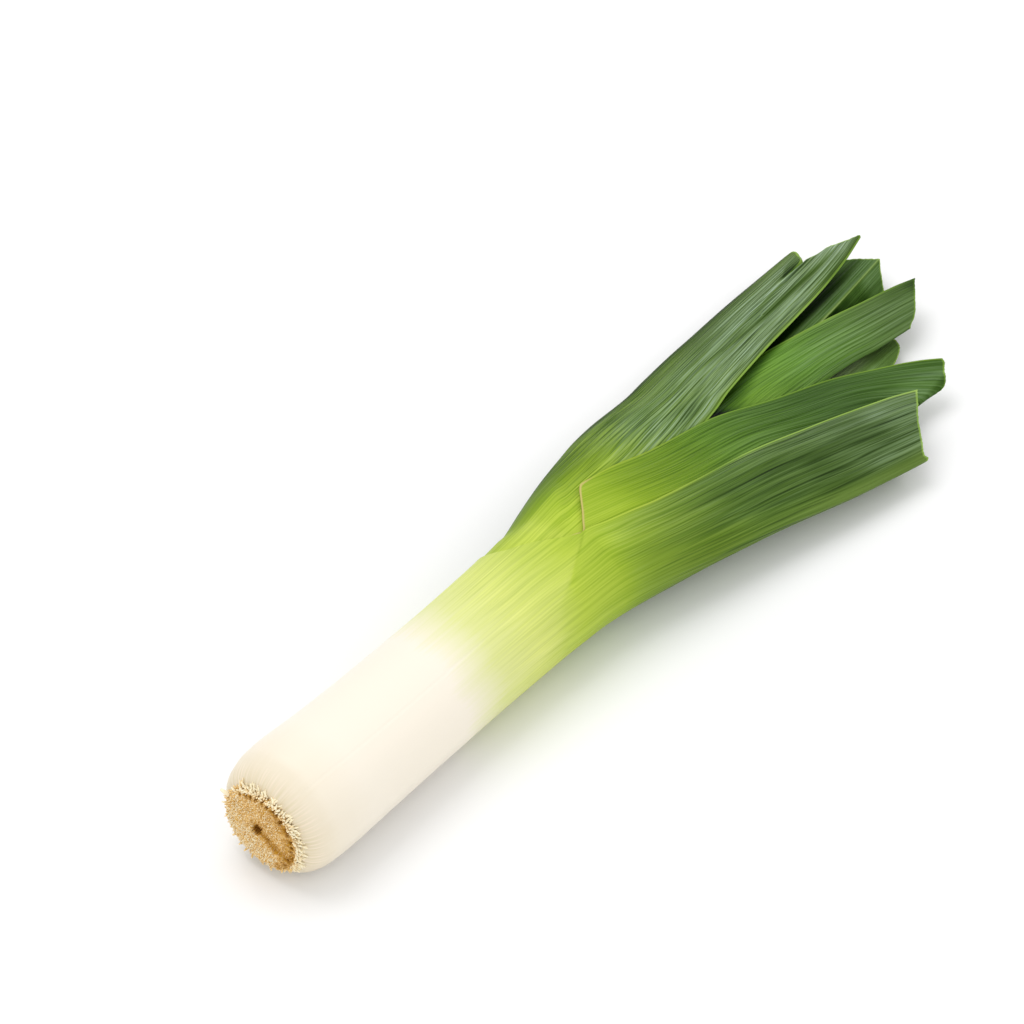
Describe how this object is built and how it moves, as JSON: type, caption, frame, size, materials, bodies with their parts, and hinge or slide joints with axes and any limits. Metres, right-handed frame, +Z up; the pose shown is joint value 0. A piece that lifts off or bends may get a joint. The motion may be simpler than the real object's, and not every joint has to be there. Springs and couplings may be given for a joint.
{
  "type": "leek",
  "caption": "Trimmed leek lying on its side: round root plate with cut roots, smooth cylindrical shank, and folded leaf blades fanning out flat to cut ends.",
  "frame": {"origin": "on the surface the leek lies on, under the middle of its bounding box", "axes": "+X from the root plate towards the cut leaf tips, +Y to the left seen from the root end, +Z up"},
  "size_m": [0.3872, 0.1132, 0.044],
  "materials": {
    "root": "dry, fibrous and matte",
    "shank": "smooth and waxy, white turning pale green",
    "leaf": "waxy, finely ribbed lengthwise"
  },
  "bodies": {
    "root": {"root_plate": "root", "shank": "shank", "leaf_1": "leaf", "leaf_2": "leaf", "leaf_3": "leaf", "leaf_4": "leaf", "leaf_5": "leaf", "leaf_6": "leaf"}
  },
  "joints": []
}
